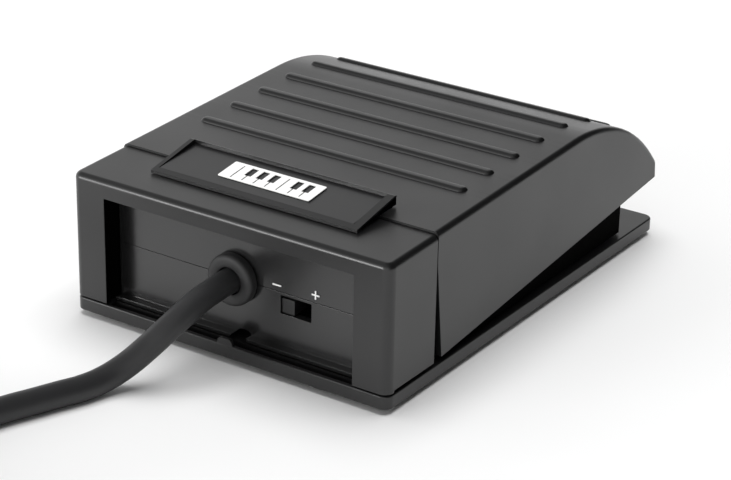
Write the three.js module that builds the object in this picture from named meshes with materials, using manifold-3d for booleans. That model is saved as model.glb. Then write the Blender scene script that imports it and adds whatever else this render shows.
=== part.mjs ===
// Compact sustain pedal for a keyboard: a base with an inner tub, a fixed rear cover,
// a sprung treadle that tips about a pin at the seam, a polarity slide switch and a
// cable that ends in a quarter-inch plug.
// Millimetres. +Z is up, the treadle's free end is at -Y and the cable leaves at +Y.
// The origin is the centre of the footprint, on the surface that the feet stand on.
import * as THREE from 'three';
import { mergeVertices } from 'three/addons/utils/BufferGeometryUtils.js';
import Module from 'manifold-3d';

const wasm = await Module();
wasm.setup();

// ---------------------------------------------------------------- driving dimensions
const GAP = 0.3;
const HALF_WIDTH = 36;
const HALF_LENGTH = 50.4;
const FOOT_DROP = 1.2;
const PLATE_THICKNESS = 2.6;
const PLATE_TOP = FOOT_DROP + PLATE_THICKNESS;
const CORNER_RADIUS = 1.9;

const SHELL_WALL = 1.3;
const TOP_WALL = 2.0;
const EDGE_ROUND = 1.0;
const SEAM_Y = 35.4;
const COVER_REAR_TOP = 29.5;
const COVER_SEAM_TOP = 29.95;
const COVER_SIDE_FOOT = 4.55;
const OPENING_HALF = 28.3;
const OPENING_TOP = 25.8;

const TREADLE_REAR_Y = 35.0;
const TREADLE_REAR_TOP = 30.45;
const TOP_SLOPE = 0.034;
const NOSE_START_Y = -15;
const NOSE_RADIUS = 43;
const NOSE_END_Y = -49.3;
const NOSE_FACE = [[-49.7, 16.4], [-50.0, 13.15]];
const TREADLE_HEEL = [32.75, 4.95];
const TREADLE_HEEL_KNEE = [35.0, 24.0];

const PIVOT_Y = 33.6;
const PIVOT_Z = 24;
const PIN_RADIUS = 1.5;

const BEAD_COUNT = 7;
const BEAD_FIRST_Y = 17.2;
const BEAD_PITCH = 9.35;
const BEAD_HALF = 30.2;
const BEAD_RADIUS = 1.4;
const BEAD_SINK = 0.8;

const TUB_HALF = 34.4;
const TUB_WALL = 1.6;
const TUB_FRONT_Y = -37.9;
const LATCH_Y = -38.3;
const HOOK_X = [-12, 9];
const HOOK_WIDTH = 3;
const TUB_REAR_Y = 43.4;
const TUB_FLOOR = PLATE_TOP + GAP;
const TUB_FLOOR_TOP = TUB_FLOOR + TUB_WALL;
const TUB_RIM = 15;

const PANEL_FACE_Y = 45.9;
const PANEL_THICKNESS = 1.6;
const PANEL_HALF = 28.4;
const PARTING_Z = 15.5;
const PANEL_TOP = 27.6;
const EXIT_X = 0.9;
const EXIT_Z = 15.6;
const CORD_RADIUS = 2.45;

const SLOT = { right: -16.2, left: -9.3, bottom: 11.2 };
const SWITCH_Y = 16;
const SPRING_Y = -6;
const BUMPER = { x: 20, y: -28, top: 9 };

const COIL_CENTRE = [39, 139];
const COIL_MEAN_RADIUS = 25;
const COIL_HALF_BAND = 5.83 + CORD_RADIUS;
const COIL_LAYERS = 4;
const COIL_BASE = 1.1;
const COIL_HEIGHT = COIL_LAYERS * 2 * CORD_RADIUS;
const PLUG_X = 58.1;
const PLUG_Z = 26.25;
const PLUG_START_Y = 154;

// ---------------------------------------------------------------- materials
const material = (colour, roughness, metalness = 0) =>
  new THREE.MeshStandardMaterial({ color: colour, roughness, metalness });
const SHELL = material(0x4b4b4d, 0.5);
const BLACK = material(0x0b0b0c, 0.7);
const RUBBER = material(0x151515, 0.9);
const CORD = material(0x29292a, 0.6);
const STEEL = material(0xa8a9ab, 0.3, 1);
const NICKEL = material(0xc9c7c0, 0.2, 1);
const BRASS = material(0xb99a52, 0.35, 1);
const WHITE = material(0xf2f2f0, 0.45);
const LABEL = material(0x3d3d40, 0.35);
const WIRE_RED = material(0x9c1f1b, 0.5);
const WIRE_GREY = material(0x8b8b8b, 0.5);

// ---------------------------------------------------------------- solids
function toSolid(geometry) {
  const bare = geometry.clone();
  bare.deleteAttribute('normal');
  bare.deleteAttribute('uv');
  const merged = mergeVertices(bare, 1e-4);
  const index = Array.from(merged.index.array);
  const triangles = [];
  for (let i = 0; i < index.length; i += 3) {
    const [a, b, c] = index.slice(i, i + 3);
    if (a !== b && b !== c && c !== a) triangles.push(a, b, c);
  }
  const position = merged.attributes.position;
  if (volumeOf(position, triangles) < 0) triangles.reverse();
  return new wasm.Manifold(new wasm.Mesh({
    numProp: 3,
    vertProperties: new Float32Array(position.array),
    triVerts: new Uint32Array(triangles),
  }));
}

function volumeOf(position, triangles) {
  const [a, b, c] = [new THREE.Vector3(), new THREE.Vector3(), new THREE.Vector3()];
  let volume = 0;
  for (let i = 0; i < triangles.length; i += 3) {
    a.fromBufferAttribute(position, triangles[i]);
    b.fromBufferAttribute(position, triangles[i + 1]);
    c.fromBufferAttribute(position, triangles[i + 2]);
    volume += a.dot(b.cross(c)) / 6;
  }
  return volume;
}

function toGeometry(solid) {
  const mesh = solid.getMesh();
  const geometry = new THREE.BufferGeometry();
  geometry.setAttribute('position', new THREE.BufferAttribute(new Float32Array(mesh.vertProperties), 3));
  geometry.setIndex(new THREE.BufferAttribute(new Uint32Array(mesh.triVerts), 1));
  geometry.computeVertexNormals();
  return geometry;
}

const join = (...solids) => solids.reduce((sum, next) => sum.add(next));
const cut = (solid, ...tools) => tools.reduce((left, tool) => left.subtract(tool), solid);

// A closed outline through corners [u, v, radius]; a corner with a radius becomes an arc.
function roundedLoop(corners, steps = 4) {
  const count = corners.length;
  return corners.flatMap(([u, v, radius = 0], i) => {
    const here = new THREE.Vector2(u, v);
    if (radius === 0) return [here];
    const before = new THREE.Vector2(...corners[(i + count - 1) % count]).sub(here).normalize();
    const after = new THREE.Vector2(...corners[(i + 1) % count]).sub(here).normalize();
    const half = Math.acos(THREE.MathUtils.clamp(before.dot(after), -1, 1)) / 2;
    const middle = before.clone().add(after).normalize().multiplyScalar(radius / Math.sin(half));
    const centre = here.clone().add(middle);
    const reach = radius / Math.tan(half);
    const from = here.clone().addScaledVector(before, reach).sub(centre).angle();
    const to = here.clone().addScaledVector(after, reach).sub(centre).angle();
    const sweep = THREE.MathUtils.euclideanModulo(to - from + Math.PI, 2 * Math.PI) - Math.PI;
    return Array.from({ length: steps + 1 }, (_, k) => {
      const angle = from + (sweep * k) / steps;
      return new THREE.Vector2(Math.cos(angle), Math.sin(angle)).multiplyScalar(radius).add(centre);
    });
  });
}

const rectangle = (u0, u1, v0, v1, radius = 0) =>
  roundedLoop([[u0, v0, radius], [u1, v0, radius], [u1, v1, radius], [u0, v1, radius]]);

function circle(u, v, radius, steps = 24) {
  return Array.from({ length: steps }, (_, k) => {
    const angle = (2 * Math.PI * k) / steps;
    return new THREE.Vector2(u + radius * Math.cos(angle), v + radius * Math.sin(angle));
  });
}

function extrude(loop, depth, bevel, bevelSegments = 3) {
  return new THREE.ExtrudeGeometry(new THREE.Shape(loop), {
    depth: depth - 2 * bevel,
    steps: 1,
    bevelEnabled: bevel > 0,
    bevelThickness: bevel,
    bevelSize: bevel,
    bevelOffset: -bevel,
    bevelSegments,
  }).translate(0, 0, bevel);
}

// The outline's (u, v) become (Y, Z), (X, Z) and (X, Y) in turn.
function alongX(loop, x0, x1, bevel = 0) {
  const turn = new THREE.Matrix4().makeBasis(
    new THREE.Vector3(0, 1, 0), new THREE.Vector3(0, 0, 1), new THREE.Vector3(1, 0, 0));
  return toSolid(extrude(loop, x1 - x0, bevel).applyMatrix4(turn).translate(x0, 0, 0));
}

function alongY(loop, y0, y1, bevel = 0) {
  return toSolid(extrude(loop, y1 - y0, bevel).rotateX(Math.PI / 2).translate(0, y1, 0));
}

function alongZ(loop, z0, z1, bevel = 0) {
  return toSolid(extrude(loop, z1 - z0, bevel, 2).translate(0, 0, z0));
}

const box = (x0, x1, y0, y1, z0, z1) =>
  toSolid(new THREE.BoxGeometry(x1 - x0, y1 - y0, z1 - z0)
    .translate((x0 + x1) / 2, (y0 + y1) / 2, (z0 + z1) / 2));

// A turned piece: profile points are [radius, height] along its own axis.
function turned(profile, axis, place, segments = 24) {
  const geometry = new THREE.LatheGeometry(profile.map(([r, h]) => new THREE.Vector2(r, h)), segments);
  if (axis === 'z') geometry.rotateX(Math.PI / 2);
  if (axis === 'x') geometry.rotateZ(-Math.PI / 2);
  return toSolid(geometry.translate(...place));
}

const rod = (axis, place, radius, length, segments = 20) =>
  turned([[0, 0], [radius, 0], [radius, length], [0, length]], axis, place, segments);

function tube(points, radius, steps, sides = 8) {
  const path = new THREE.CatmullRomCurve3(points.map((p) => new THREE.Vector3(...p)));
  const section = new THREE.Shape(circle(0, 0, radius, sides));
  return toSolid(new THREE.ExtrudeGeometry(section, { steps, bevelEnabled: false, extrudePath: path }));
}

const pedal = new THREE.Group();

function piece(name, solid, look, parent = pedal) {
  const mesh = new THREE.Mesh(toGeometry(solid), look);
  mesh.name = name;
  parent.add(mesh);
}

// ---------------------------------------------------------------- shared shapes
const treadleTop = (y) => TREADLE_REAR_TOP + TOP_SLOPE * (TREADLE_REAR_Y - y);

// The nose is an arc that leaves the sloping top without a corner.
function noseCentre() {
  const tilt = Math.atan(TOP_SLOPE);
  return [
    NOSE_START_Y - NOSE_RADIUS * Math.sin(tilt),
    treadleTop(NOSE_START_Y) - NOSE_RADIUS * Math.cos(tilt),
  ];
}

function surfaceHeight(y, inset = 0) {
  if (y > NOSE_START_Y) return treadleTop(y) - inset;
  const [centreY, centreZ] = noseCentre();
  return centreZ + Math.sqrt((NOSE_RADIUS - inset) ** 2 - (y - centreY) ** 2);
}

function noseArc(endY, inset, steps = 9) {
  return Array.from({ length: steps + 1 }, (_, k) => {
    const y = NOSE_START_Y + ((endY - NOSE_START_Y) * k) / steps;
    return new THREE.Vector2(y, surfaceHeight(y, inset));
  });
}

// ---------------------------------------------------------------- base and feet
const FEET = {
  front_right: [-24, -41.5], front_left: [24, -41.5], rear_right: [-19.5, 43.5], rear_left: [19.5, 43.5],
};
const FOOT_RADIUS = 5.5;
const FOOT_SEAT = 0.6;
const TUB_SCREWS = [[-28, -30], [28, -30], [-28, 24], [28, 24]];
const COVER_SCREWS = [[-31.6, 46.0], [31.6, 46.0]];
const SCREW_RADIUS = 1.1;
const SCREW_HEAD = { radius: 2.3, height: 1.3 };

function basePlate() {
  const plan = roundedLoop([
    [-HALF_WIDTH, -HALF_LENGTH, 2], [HALF_WIDTH, -HALF_LENGTH, 2],
    [HALF_WIDTH, HALF_LENGTH, CORNER_RADIUS], [-HALF_WIDTH, HALF_LENGTH, CORNER_RADIUS],
  ]);
  const plate = alongZ(plan, FOOT_DROP, PLATE_TOP, 0.3);
  const groove = box(-28, 28, 47.9, 49.6, 2.2, PLATE_TOP + 1);
  const lug = alongY(roundedLoop([[-2.1, 3.2], [2.2, 3.2], [1.5, 5.0, 0.9], [-1.4, 5.0, 0.9]]), 49.65, 50.3);
  const seats = Object.values(FEET).map(([x, y]) =>
    rod('z', [x, y, FOOT_DROP - 1], FOOT_RADIUS + GAP, 1 + FOOT_SEAT + GAP));
  const holes = [...TUB_SCREWS, ...COVER_SCREWS].flatMap(([x, y]) => [
    rod('z', [x, y, 0], SCREW_RADIUS + GAP, 6, 16),
    rod('z', [x, y, FOOT_DROP - 1], SCREW_HEAD.radius + GAP, 1 + SCREW_HEAD.height + GAP, 20),
  ]);
  return cut(join(cut(plate, groove), lug), ...seats, ...holes);
}

function foot([x, y]) {
  const profile = [[0, 0], [FOOT_RADIUS - 0.3, 0], [FOOT_RADIUS, 0.3],
    [FOOT_RADIUS, FOOT_DROP + FOOT_SEAT], [0, FOOT_DROP + FOOT_SEAT]];
  return turned(profile, 'z', [x, y, 0]);
}

function screw([x, y], length) {
  const { radius, height } = SCREW_HEAD;
  const bottom = FOOT_DROP + 0.1;
  const profile = [[0, 0.4], [0.8, 0.4], [0.8, 0], [radius - 0.3, 0], [radius, 0.3], [radius, height],
    [SCREW_RADIUS, height], [SCREW_RADIUS, length - 0.6], [SCREW_RADIUS - 0.5, length], [0, length]];
  return turned(profile, 'z', [x, y, bottom], 16);
}

// ---------------------------------------------------------------- inner tub
const CHEEK = roundedLoop([
  [TUB_REAR_Y, TUB_FLOOR], [TUB_REAR_Y, 20], [38, 27.3, 2], [29, 27.3, 2], [25.5, TUB_RIM, 2],
  [TUB_FRONT_Y, TUB_RIM], [TUB_FRONT_Y, TUB_FLOOR],
]);
const SCREW_BOSS_TOP = 11;

function chassisTub() {
  const sides = [-TUB_HALF, TUB_HALF - TUB_WALL].map((x) => alongX(CHEEK, x, x + TUB_WALL));
  const floor = box(-TUB_HALF, TUB_HALF, TUB_FRONT_Y, TUB_REAR_Y, TUB_FLOOR, TUB_FLOOR_TOP);
  const front = box(-TUB_HALF, TUB_HALF, TUB_FRONT_Y, TUB_FRONT_Y + TUB_WALL, TUB_FLOOR, TUB_RIM);
  const latchLedge = box(-16, 16, LATCH_Y - 0.9, TUB_FRONT_Y + 0.5, TUB_RIM - 1.2, TUB_RIM);
  const bosses = TUB_SCREWS.map(([x, y]) => rod('z', [x, y, TUB_FLOOR], 3, SCREW_BOSS_TOP - TUB_FLOOR));
  const springPost = rod('z', [0, SPRING_Y, TUB_FLOOR], 3.4, 4.4);
  const body = join(floor, ...sides, front, latchLedge, ...bosses, springPost);
  const pinHole = rod('x', [-40, PIVOT_Y, PIVOT_Z], PIN_RADIUS + GAP, 80);
  const screwHoles = TUB_SCREWS.map(([x, y]) => rod('z', [x, y, 0], SCREW_RADIUS + GAP, 9.6, 16));
  const coverNotches = COVER_SCREWS.map(([x]) =>
    box(x - 3.4, x + 3.4, 42.2, TUB_REAR_Y + 1, TUB_FLOOR - 1, 30));
  // The hook tips swing back through these windows as the treadle goes down.
  const hookWindows = HOOK_X.map((x) => box(x - 0.6, x + HOOK_WIDTH + 0.6,
    TUB_FRONT_Y - 1, TUB_FRONT_Y + TUB_WALL + 0.4, TUB_FLOOR - 1, 12.8));
  return cut(body, pinHole, ...screwHoles, ...coverNotches, ...hookWindows);
}

const hingePin = () => turned(
  [[0, 0], [PIN_RADIUS - 0.3, 0], [PIN_RADIUS, 0.3], [PIN_RADIUS, 68.5], [PIN_RADIUS - 0.3, 68.8], [0, 68.8]],
  'x', [-TUB_HALF, PIVOT_Y, PIVOT_Z]);

// ---------------------------------------------------------------- rear cover
function rearCover() {
  const side = roundedLoop([
    [SEAM_Y, PLATE_TOP + GAP], [HALF_LENGTH, PLATE_TOP + GAP],
    [HALF_LENGTH, COVER_REAR_TOP, EDGE_ROUND], [SEAM_Y, COVER_SEAM_TOP, 0.3],
  ]);
  const plan = roundedLoop([
    [-HALF_WIDTH, 20], [HALF_WIDTH, 20],
    [HALF_WIDTH, HALF_LENGTH, CORNER_RADIUS], [-HALF_WIDTH, HALF_LENGTH, CORNER_RADIUS],
  ]);
  const front = roundedLoop([
    [-HALF_WIDTH, 0], [HALF_WIDTH, 0], [HALF_WIDTH, COVER_SEAM_TOP, EDGE_ROUND],
    [-HALF_WIDTH, COVER_SEAM_TOP, EDGE_ROUND],
  ]);
  const outer = alongX(side, -HALF_WIDTH, HALF_WIDTH)
    .intersect(alongZ(plan, 0, 40)).intersect(alongY(front, 20, 60));
  const inside = roundedLoop([
    [SEAM_Y - 1, 0], [HALF_LENGTH - SHELL_WALL, 0],
    [HALF_LENGTH - SHELL_WALL, COVER_REAR_TOP - 1.6], [SEAM_Y - 1, COVER_SEAM_TOP - 1.6],
  ]);
  const hollow = alongX(inside, SHELL_WALL - HALF_WIDTH, HALF_WIDTH - SHELL_WALL);
  const opening = box(-OPENING_HALF, OPENING_HALF, 47, 52, 0, OPENING_TOP);
  const sideFoot = box(-40, 40, SEAM_Y - 1, HALF_LENGTH - 2.2, 0, COVER_SIDE_FOOT);
  const bosses = COVER_SCREWS.map(([x, y]) => rod('z', [x, y, PLATE_TOP + GAP], 2.9, 23.9));
  const holes = COVER_SCREWS.map(([x, y]) => rod('z', [x, y, 0], SCREW_RADIUS + GAP, 11.3, 16));
  return cut(join(cut(outer, hollow, sideFoot), ...bosses), opening, ...holes);
}

// ---------------------------------------------------------------- rear panels and cable gland
function panelCuts() {
  const glandHole = rod('y', [EXIT_X, PANEL_FACE_Y - 4, EXIT_Z], 3.9, 8);
  const slot = box(SLOT.right, SLOT.left, 40, 48, SLOT.bottom, PARTING_Z);
  const coverBosses = COVER_SCREWS.map(([x, y]) => rod('z', [x, y, 0], 2.9 + GAP, 40));
  return [glandHole, slot, ...coverBosses];
}

function lowerPanel() {
  const bottom = PLATE_TOP + GAP;
  const wall = box(-PANEL_HALF, PANEL_HALF, PANEL_FACE_Y - PANEL_THICKNESS, PANEL_FACE_Y,
    bottom, PARTING_Z - GAP / 2);
  const flange = box(-28, 28, PANEL_FACE_Y - 1, PANEL_FACE_Y + 1.9, bottom, bottom + 0.7);
  const arch = alongY(roundedLoop([
    [-3.6, 0], [0.6, 0], [0.6, 5.9, 1.9], [-3.6, 5.9, 1.9],
  ]), 42, 50);
  return cut(join(wall, flange), arch, ...panelCuts());
}

function upperPanel() {
  const wall = box(-PANEL_HALF, PANEL_HALF, PANEL_FACE_Y - PANEL_THICKNESS, PANEL_FACE_Y,
    PARTING_Z + GAP / 2, PANEL_TOP);
  return cut(wall, ...panelCuts());
}

// The gland's collar is domed; its neck sits in the split panel and a flange holds it inside.
function cableGland() {
  const bore = CORD_RADIUS + 0.4;
  const outer = PANEL_FACE_Y + GAP - 42.4;
  const profile = [[bore, 0], [5, 0], [5, 1.5], [3.5, 1.5], [3.5, outer], [4.75, outer],
    [4.75, outer + 0.7], [4.5, outer + 1.5], [4.0, outer + 2.05], [bore + 0.3, outer + 2.3],
    [bore, outer + 2.0], [bore, 0]];
  return turned(profile, 'y', [EXIT_X, 42.4, EXIT_Z], 28);
}

function sign(centreX, centreZ, strokes) {
  const bars = strokes.map(([halfX, halfZ]) =>
    box(centreX - halfX, centreX + halfX, PANEL_FACE_Y + 0.05, PANEL_FACE_Y + 0.2,
      centreZ - halfZ, centreZ + halfZ));
  return join(...bars);
}

// ---------------------------------------------------------------- polarity switch
function polarityBody() {
  const block = box(-17.6, -7.9, 37.8, 44, 9.4, 15.1);
  const channel = box(SLOT.right - 0.4, SLOT.left + 0.5, 41.2, 45, SLOT.bottom - 0.2, 14.9);
  const legs = [-15.5, -12.75, -10].map((x) => box(x - 0.35, x + 0.35, 35, 38, 12, 12.5));
  return join(cut(block, channel), ...legs);
}

function polaritySlider() {
  const right = SLOT.left - GAP - 2.6;
  const foot = box(right - 0.35, SLOT.left + 0.05, 41.5, 43.9, SLOT.bottom + 0.1, 14.6);
  const knob = box(right, SLOT.left - GAP, 43.5, PANEL_FACE_Y - 0.15, SLOT.bottom + GAP, 14.55);
  return join(foot, knob);
}

// ---------------------------------------------------------------- contact switch
function contactBody() {
  const block = box(-6, 6, 9.5, 22.5, TUB_FLOOR_TOP + GAP, 12);
  const legs = [12.5, 19.5].map((y) => box(-8.6, -5.5, y - 0.4, y + 0.4, 8.4, 8.9));
  return cut(join(block, ...legs), rod('z', [0, SWITCH_Y, 7.4], 2 + GAP, 8));
}

const contactPlunger = () => turned(
  [[0, 0], [2, 0], [2, 2.2], [1.5, 2.2], [1.5, 4.2], [1.1, 4.5], [0, 4.5]], 'z', [0, SWITCH_Y, 9.8], 20);

// ---------------------------------------------------------------- return spring
function returnSpring() {
  const [radius, wire, turns, bottom, top] = [4.4, 0.5, 6.5, 6.55, 28.9];
  const points = Array.from({ length: turns * 12 + 1 }, (_, k) => {
    const angle = (2 * Math.PI * k) / 12;
    const height = bottom + ((top - bottom) * k) / (turns * 12);
    return [radius * Math.cos(angle), SPRING_Y + radius * Math.sin(angle), height];
  });
  return tube(points, wire, turns * 12, 6);
}

// The treadle's two stop posts land on rubber bumpers at the end of its travel.
function bumper(x) {
  const height = BUMPER.top - TUB_FLOOR_TOP - GAP;
  const profile = [[0, 0], [4, 0], [4, height - 0.9], [3.2, height], [0, height]];
  return turned(profile, 'z', [x, BUMPER.y, TUB_FLOOR_TOP + GAP]);
}

// ---------------------------------------------------------------- treadle
function treadleOutline() {
  return [
    ...roundedLoop([TREADLE_HEEL, TREADLE_HEEL_KNEE, [TREADLE_REAR_Y, TREADLE_REAR_TOP]]),
    ...noseArc(NOSE_END_Y, 0),
    ...NOSE_FACE.map(([y, z]) => new THREE.Vector2(y, z)),
  ];
}

function treadleHollow() {
  const loop = [
    new THREE.Vector2(40, 0), new THREE.Vector2(40, treadleTop(40) - TOP_WALL),
    ...noseArc(-46.6, TOP_WALL), new THREE.Vector2(-47.7, 15.5), new THREE.Vector2(-48.3, 0),
  ];
  return alongX(loop, SHELL_WALL - 0.1 - HALF_WIDTH, HALF_WIDTH + 0.1 - SHELL_WALL);
}

// Grip beads are capsules laid across the treadle and sunk until only their crowns show.
function gripBead(i) {
  const y = i < 6 ? BEAD_FIRST_Y - BEAD_PITCH * i : BEAD_FIRST_Y - BEAD_PITCH * i + 0.5;
  const z = surfaceHeight(y, BEAD_SINK);
  const capsule = new THREE.CapsuleGeometry(BEAD_RADIUS, 2 * (BEAD_HALF - BEAD_RADIUS), 3, 16);
  return toSolid(capsule.rotateZ(Math.PI / 2).translate(0, y, z));
}

const EAR_OUTSIDE = 32.4;
const EAR_WIDTH = 3.4;

function treadleInside() {
  const ears = [-EAR_OUTSIDE, EAR_OUTSIDE - EAR_WIDTH].map((x) => join(
    rod('x', [x, PIVOT_Y, PIVOT_Z], 3.9, EAR_WIDTH, 28),
    box(x, x + EAR_WIDTH, 29.9, 34.4, PIVOT_Z, 29.2)));
  const stiffeners = [-16.7, 15.3].map((x) => box(x, x + 1.4, -28, 26, 26, 29.2));
  const plungerPost = rod('z', [0, SWITCH_Y, 14.65], 1.6, 15);
  const springBoss = rod('z', [0, SPRING_Y, 27], 3.4, 3.4);
  const stopPosts = [-1, 1].map((side) => rod('z', [side * BUMPER.x, BUMPER.y, 15.95], 2, 12));
  return [...ears, ...stiffeners, plungerPost, springBoss, ...stopPosts];
}

// Two hooks reach down in front of the tub and catch under its ledge, which sets the rest height.
function latchHooks() {
  return HOOK_X.map((x) => join(
    box(x, x + HOOK_WIDTH, -42.6, -41.0, 11.9, 22.3),
    box(x, x + HOOK_WIDTH, -41.5, LATCH_Y, 11.9, 13.5)));
}

function treadle() {
  const shell = cut(alongX(treadleOutline(), -HALF_WIDTH, HALF_WIDTH, EDGE_ROUND), treadleHollow());
  const beads = Array.from({ length: BEAD_COUNT }, (_, i) => gripBead(i));
  const pinHole = rod('x', [-EAR_OUTSIDE - 1, PIVOT_Y, PIVOT_Z], PIN_RADIUS + GAP, 2 * EAR_OUTSIDE + 2);
  return cut(join(shell, ...beads, ...treadleInside(), ...latchHooks()), pinHole);
}

// ---------------------------------------------------------------- badge over the seam
const BADGE = { half: 23.7, rear: 42.7, front: 29.4, rearTop: 30.75, slope: 0.182 };
const badgeTop = (y, drop = 0) => BADGE.rearTop + BADGE.slope * (BADGE.rear - y) - drop;
const LABEL_SLOPE = 0.13;
const labelSeat = (y) => badgeTop(41.2, 0.45) + LABEL_SLOPE * (41.2 - y);

function badgeFrame() {
  const side = roundedLoop([
    [BADGE.rear, badgeTop(BADGE.rear)], [BADGE.front, badgeTop(BADGE.front), 0.6],
    [BADGE.front + 0.3, 31.6], [31.0, 31.35], [31.0, treadleTop(31.0) + GAP],
    [34.4, treadleTop(34.4) + GAP], [34.4, 30.9], [BADGE.rear, 30.05],
  ], 3);
  const plate = alongX(side, -BADGE.half, BADGE.half, 0.3);
  const under = [[41.5, 29], [41.5, badgeTop(41.5, 0.7)], [28.9, badgeTop(28.9, 0.7)], [28.9, 29]]
    .map(([y, z]) => new THREE.Vector2(y, z));
  const sideRelief = [alongX(under, -25, -22.4), alongX(under, 22.4, 25)];
  const recess = alongX([
    new THREE.Vector2(41.2, labelSeat(41.2)), new THREE.Vector2(41.2, 36),
    new THREE.Vector2(30.7, 36), new THREE.Vector2(30.7, labelSeat(30.7)),
  ], -21.7, 21.7);
  return cut(plate, recess, ...sideRelief);
}

function slab(loop, lift, thickness) {
  const tilt = new THREE.Matrix4().makeRotationX(-Math.atan(LABEL_SLOPE));
  const geometry = extrude(loop, thickness, 0).applyMatrix4(tilt);
  return toSolid(geometry.translate(0, 41.2, labelSeat(41.2) + lift));
}

const badgeLabel = () => slab(rectangle(-21.3, 21.3, -10.2, -0.4, 0.3), 0.06, 0.2);

// A strip of keys: white keys joined at the bell end, with black keys cut as notches.
function badgeEmblem() {
  const [keyWidth, keys, near, far] = [2.6, 8, -2.4, -8.3];
  const left = (-keys * keyWidth) / 2;
  const strip = slab(rectangle(left, -left, far, near, 0.3), 0.31, 0.15);
  const splits = Array.from({ length: keys - 1 }, (_, k) => {
    const x = left + keyWidth * (k + 1);
    return slab(rectangle(x - 0.14, x + 0.14, far + 0.7, near - 0.5), 0.2, 1);
  });
  const sharps = [0, 1, 3, 4, 5].map((k) => {
    const x = left + keyWidth * (k + 1);
    return slab(rectangle(x - 0.75, x + 0.75, far + 0.7, far + 3.6), 0.2, 1);
  });
  return cut(strip, ...splits, ...sharps);
}

// ---------------------------------------------------------------- cable, coil and plug
const CORD_ROUTE = [
  [0.9, 46.6, 15.6], [0.9, 50, 15.6], [0.9, 53.6, 15.4], [1.1, 56.7, 14.9], [1.7, 60.2, 13.5],
  [3.0, 63.2, 11.4], [5.4, 66.1, 8.1], [8.3, 69.0, 4.7], [10.3, 72.5, 2.9], [11.7, 76.9, 2.45],
  [13.4, 81.0, 2.45], [15.4, 86.0, 2.45], [17.6, 91.4, 2.45], [18.8, 95.7, 2.45], [19.1, 100.5, 2.45],
  [18.5, 105.2, 2.45], [17.3, 109.9, 2.45],
];
const TAIL_ROUTE = [
  [47.0, 168.8, 23.45], [50.6, 167.3, 23.6], [53.7, 164.9, 24.1], [56.1, 161.8, 24.9], [57.6, 158.2, 25.7],
  [PLUG_X, PLUG_START_Y + GAP, PLUG_Z],
];

// The coil is a ring of four flat spirals, one on the other; the plug lies on it.
function cordCoil() {
  const profile = rectangle(COIL_MEAN_RADIUS - COIL_HALF_BAND, COIL_MEAN_RADIUS + COIL_HALF_BAND,
    0, COIL_HEIGHT, 1.6).map((p) => [p.x, p.y]);
  return turned([...profile, profile[0]], 'z', [...COIL_CENTRE, COIL_BASE], 36);
}

// The tie is a flat strap closed around the bundle; the coil rests on it.
function cordTie() {
  const [wall, halfWidth, angle] = [0.8, 4, -110];
  const reach = COIL_HALF_BAND + 2 * GAP;
  const top = COIL_BASE + COIL_HEIGHT + GAP;
  const [inner, outer] = [COIL_MEAN_RADIUS - reach, COIL_MEAN_RADIUS + reach];
  const outside = rectangle(inner - wall, outer + wall, 0, top + wall, 1.5);
  const hole = rectangle(inner, outer, wall, top, 1);
  const strap = cut(alongY(outside, -halfWidth, halfWidth), alongY(hole, -halfWidth - 1, halfWidth + 1));
  const [x, y] = COIL_CENTRE;
  return toSolid(toGeometry(strap).rotateZ(THREE.MathUtils.degToRad(angle)).translate(x, y, 0));
}

// Each plug piece is [name, colour, distance from the boot's mouth, profile of (radius, height)].
const BOOT_BORE = CORD_RADIUS + GAP;
const JACK_RADIUS = 6.35 / 2;
const PLUG_PIECES = [
  ['plug_boot', CORD, 0, [[BOOT_BORE, 0], [3.3, 0], [3.9, 11], [BOOT_BORE, 11], [BOOT_BORE, 0]]],
  ['plug_grip', CORD, 11.3, [[0, 0], [4.6, 0], [5.25, 1.5], [5.25, 25], [4.7, 26.5], [0, 26.5]]],
  ['plug_sleeve', NICKEL, 38.1,
    [[0, 0], [4.3, 0], [4.3, 1.6], [JACK_RADIUS, 1.6], [JACK_RADIUS, 20.5], [0, 20.5]]],
  ['plug_insulator', BLACK, 58.9, [[0, 0], [3.1, 0], [3.1, 1], [0, 1]]],
  ['plug_tip', NICKEL, 60.2,
    [[0, 0], [JACK_RADIUS, 0], [JACK_RADIUS, 1.8], [2, 3.4], [2, 4.3], [3, 5.4], [3, 6.2], [1, 8.6],
      [0, 8.9]]],
];

function plugPiece(profile, start) {
  const geometry = new THREE.LatheGeometry(profile.map(([r, h]) => new THREE.Vector2(r, h + start)), 24);
  return toSolid(geometry.rotateX(Math.PI).translate(PLUG_X, PLUG_START_Y, PLUG_Z));
}

// ---------------------------------------------------------------- inner wires
const WIRES = [
  ['wire_signal', WIRE_RED,
    [[-0.1, 44.5, 15.6], [-0.4, 41, 15.4], [-2.5, 37, 14], [-6, 34.5, 12.8], [-9.4, 34.2, 12.2]]],
  ['wire_ground', WIRE_GREY,
    [[1.9, 44.5, 15.6], [2.2, 41, 15.2], [1.6, 35, 12.4], [-2, 28, 9.6], [-7, 22.6, 9.0],
      [-9.4, 19.6, 8.65]]],
  ['wire_contact', WIRE_RED,
    [[-15.5, 34.2, 12.2], [-15.9, 31, 11.4], [-14.6, 24, 9.8], [-12.4, 16.5, 8.8], [-9.4, 12.5, 8.65]]],
];

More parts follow.
